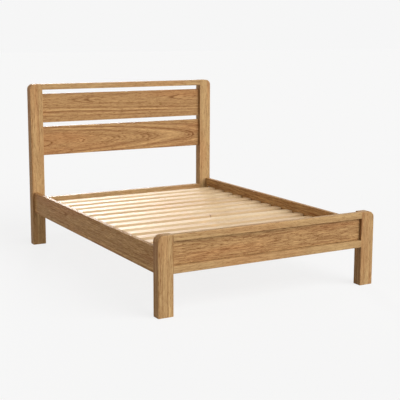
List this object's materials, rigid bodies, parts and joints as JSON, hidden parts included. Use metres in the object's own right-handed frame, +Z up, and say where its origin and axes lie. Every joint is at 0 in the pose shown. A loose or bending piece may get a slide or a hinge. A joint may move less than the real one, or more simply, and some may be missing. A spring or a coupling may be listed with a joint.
{
  "type": "slatted bed frame",
  "caption": "Oak bed frame with square posts, a two-board headboard, a low panelled footboard, plain side rails and a slatted deck on a centre rail with a levelling leg.",
  "frame": {"origin": "on the floor under the middle of the frame, half way along its length and width", "axes": "+X across the bed to the right seen from the footboard, +Y from the footboard to the headboard, +Z up"},
  "size_m": [1.455, 2.032, 1.145],
  "materials": {
    "oak_frame": "satin lacquered light oak, grain along each post and rail",
    "oak_panel": "satin lacquered oak, a shade darker and redder, with broad figure",
    "oak_side": "satin lacquered oak",
    "pine": "planed softwood, unfinished",
    "beech": "fluted beech, unfinished",
    "zinc_steel": "bright zinc plate",
    "nylon": "moulded black nylon"
  },
  "bodies": {
    "frame": {"headboard_post_left": "oak_frame", "headboard_post_right": "oak_frame", "headboard_top_rail": "oak_frame", "headboard_upper_panel": "oak_panel", "headboard_lower_panel": "oak_panel", "headboard_bottom_rail": "oak_frame", "footboard_post_left": "oak_frame", "footboard_post_right": "oak_frame", "footboard_top_rail": "oak_frame", "footboard_panel": "oak_panel", "footboard_bottom_rail": "oak_frame", "side_rail_left": "oak_side", "side_rail_right": "oak_side", "slat_ledge_left": "pine", "slat_ledge_right": "pine", "centre_rail": "pine", "centre_rail_bracket_head": "zinc_steel", "centre_rail_bracket_foot": "zinc_steel", "centre_leg": "pine", "centre_leg_bolt": "zinc_steel", "leg_insert": "zinc_steel", "slat_01": "pine", "slat_02": "pine", "slat_03": "pine", "slat_04": "pine", "slat_05": "pine", "slat_06": "pine", "slat_07": "pine", "slat_08": "pine", "slat_09": "pine", "slat_10": "pine", "slat_11": "pine", "slat_12": "pine", "slat_13": "pine", "slat_14": "pine", "bed_stud_foot_left": "zinc_steel", "bed_stud_foot_right": "zinc_steel", "bed_stud_head_left": "zinc_steel", "bed_stud_head_right": "zinc_steel", "bed_washer_foot_left": "zinc_steel", "bed_washer_foot_right": "zinc_steel", "bed_washer_head_left": "zinc_steel", "bed_washer_head_right": "zinc_steel", "bed_nut_foot_left": "zinc_steel", "bed_nut_foot_right": "zinc_steel", "bed_nut_head_left": "zinc_steel", "bed_nut_head_right": "zinc_steel", "dowel_upper_foot_left": "beech", "dowel_upper_foot_right": "beech", "dowel_upper_head_left": "beech", "dowel_upper_head_right": "beech", "dowel_lower_foot_left": "beech", "dowel_lower_foot_right": "beech", "dowel_lower_head_left": "beech", "dowel_lower_head_right": "beech"},
    "levelling_foot": {"levelling_foot_pad": "nylon", "levelling_foot_stud": "zinc_steel"}
  },
  "joints": [
    {"name": "levelling_foot_travel", "type": "slide", "parent": "frame", "child": "levelling_foot", "axis": [0, 0, 1], "range_m": [-0.012, 0.012]}
  ]
}
